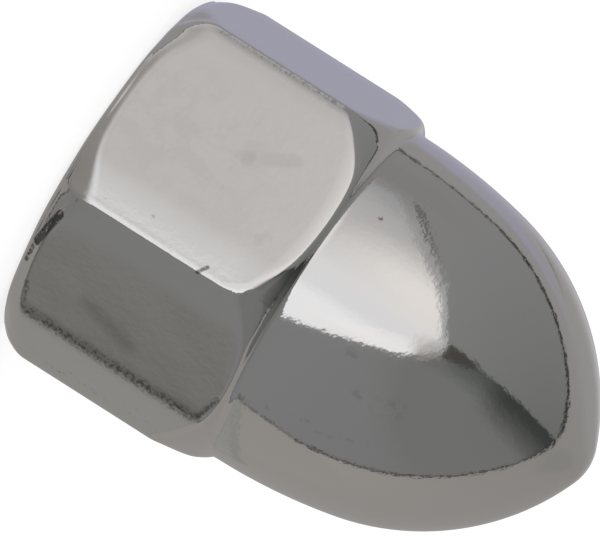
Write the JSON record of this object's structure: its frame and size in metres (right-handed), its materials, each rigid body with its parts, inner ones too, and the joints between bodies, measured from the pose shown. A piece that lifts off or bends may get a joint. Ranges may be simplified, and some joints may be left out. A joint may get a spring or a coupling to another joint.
{
  "type": "cap nut",
  "caption": "High-crown hexagon cap nut: a closed ogive dome over a blind threaded hole, with rounded corners, chamfered ends and a flat bearing face.",
  "frame": {"origin": "centre of the flat bearing face, on the axis of the threaded hole", "axes": "+Z along the nut's axis from the bearing face to the nose of the dome; +X through a corner of the hexagon; +Y through the middle of a flat"},
  "size_m": [0.0158, 0.014, 0.0205],
  "materials": {
    "nut": "polished chrome plate"
  },
  "bodies": {
    "root": {"cap_nut": "nut"}
  },
  "joints": []
}
